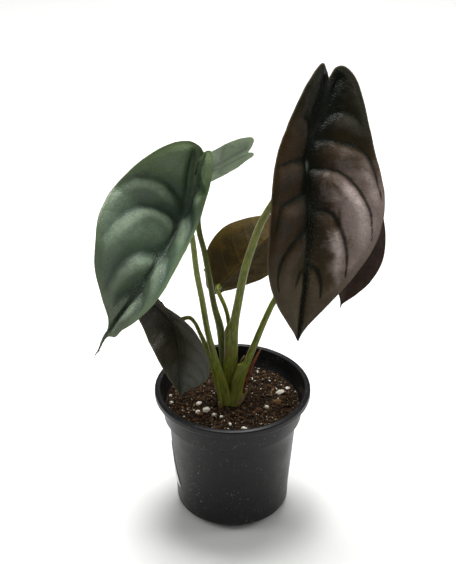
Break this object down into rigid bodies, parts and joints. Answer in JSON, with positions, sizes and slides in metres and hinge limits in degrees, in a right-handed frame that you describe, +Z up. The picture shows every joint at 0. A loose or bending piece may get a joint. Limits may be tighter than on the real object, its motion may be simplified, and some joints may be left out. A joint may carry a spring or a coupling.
{
  "type": "potted alocasia",
  "caption": "Potted alocasia: shield-shaped leaves on sheathed stalks rising from a corm in dark potting mix, in a black round nursery pot.",
  "frame": {"origin": "centre of the flat pad under the pot, on the surface the pot stands on", "axes": "+Z up along the pot's axis, -Y towards the front of the plant, +X to its right"},
  "size_m": [0.209, 0.1616, 0.376],
  "materials": {
    "pot_plastic": "satin",
    "sticker_paper": "satin",
    "potting_mix": "matte",
    "corm_skin": "matte",
    "petiole_green": "satin",
    "leaf_grey_green": "satin",
    "leaf_copper": "gloss",
    "leaf_olive": "satin",
    "dry_tissue": "matte",
    "perlite_white": "matte",
    "bark_brown": "matte"
  },
  "bodies": {
    "root": {"pot": "pot_plastic", "pot_label": "sticker_paper", "potting_mix": "potting_mix", "corm": "corm_skin", "leaf_front_left": "leaf_grey_green", "leaf_front_right": "leaf_copper", "leaf_low_left": "leaf_olive", "leaf_back_left": "leaf_grey_green", "leaf_back_center": "leaf_olive", "leaf_back_right": "leaf_copper", "petiole_front_left": "petiole_green", "petiole_front_right": "petiole_green", "petiole_low_left": "petiole_green", "petiole_back_left": "petiole_green", "petiole_back_center": "petiole_green", "petiole_back_right": "petiole_green", "dry_petiole_stub": "dry_tissue", "perlite_01": "perlite_white", "perlite_02": "perlite_white", "perlite_03": "perlite_white", "perlite_04": "perlite_white", "perlite_05": "perlite_white", "perlite_06": "perlite_white", "perlite_07": "perlite_white", "perlite_08": "perlite_white", "perlite_09": "perlite_white", "perlite_10": "perlite_white", "perlite_11": "perlite_white", "perlite_12": "perlite_white", "bark_chip_1": "bark_brown", "bark_chip_2": "bark_brown", "bark_chip_3": "bark_brown", "bark_chip_4": "bark_brown"}
  },
  "joints": []
}
